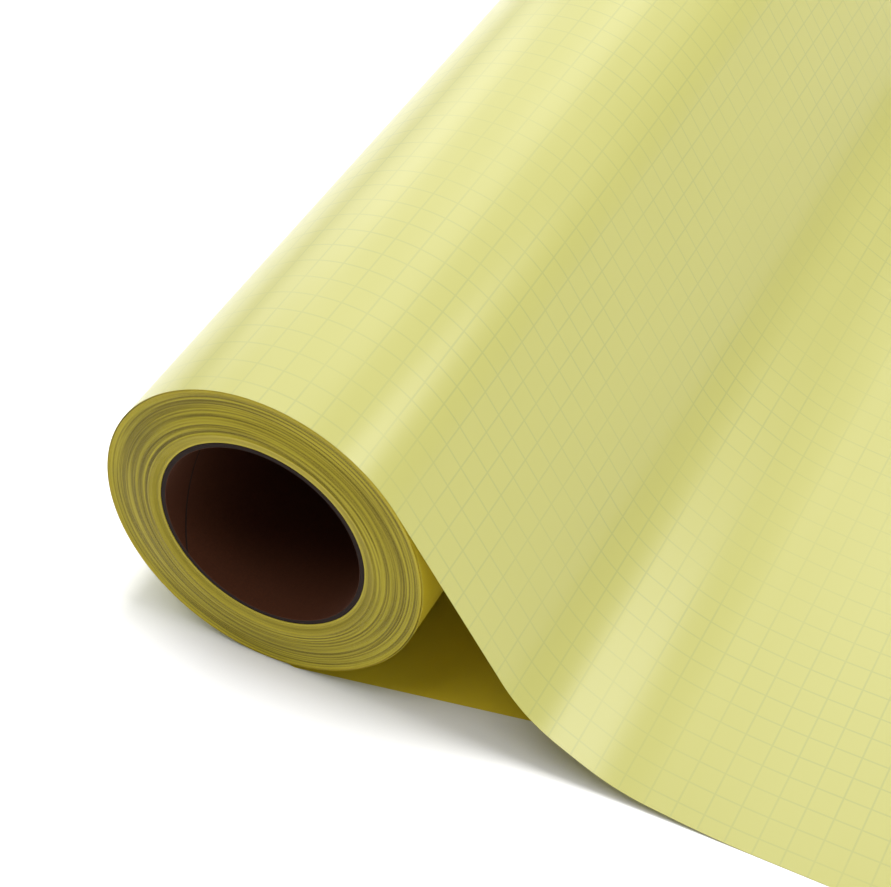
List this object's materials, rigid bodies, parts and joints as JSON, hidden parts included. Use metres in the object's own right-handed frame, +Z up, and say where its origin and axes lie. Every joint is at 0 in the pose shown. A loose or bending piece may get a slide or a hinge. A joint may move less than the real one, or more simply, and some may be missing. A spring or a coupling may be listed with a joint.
{
  "type": "roll of sign vinyl",
  "caption": "Part-used roll of self-adhesive sheet film on a paperboard core, with its gridded release liner paid out over the roll and lying flat on the table.",
  "frame": {"origin": "on the table under the middle of the whole object, roll and paid-out web together", "axes": "+Y runs along the roll from its near end to its far end, +X is the way the web is paid out, and +Z is up"},
  "size_m": [0.328, 0.6117, 0.1243],
  "materials": {
    "core_board": "matte",
    "start_tape": "satin",
    "wound_laps": "satin",
    "vinyl_film": "gloss",
    "release_liner": "satin"
  },
  "bodies": {
    "web": {"liner_web": "release_liner", "film_last_lap": "vinyl_film", "film_free_end": "vinyl_film"},
    "roll": {"core_tube": "core_board", "core_start_tape": "start_tape", "laps_first": "wound_laps", "laps_inner": "wound_laps", "laps_middle": "wound_laps", "laps_outer": "wound_laps"}
  },
  "joints": [
    {"name": "roll_turn", "type": "hinge", "parent": "web", "child": "roll", "pos_m": [-0.102, 0, 0.0623], "axis": [0, 1, 0], "continuous": true}
  ]
}
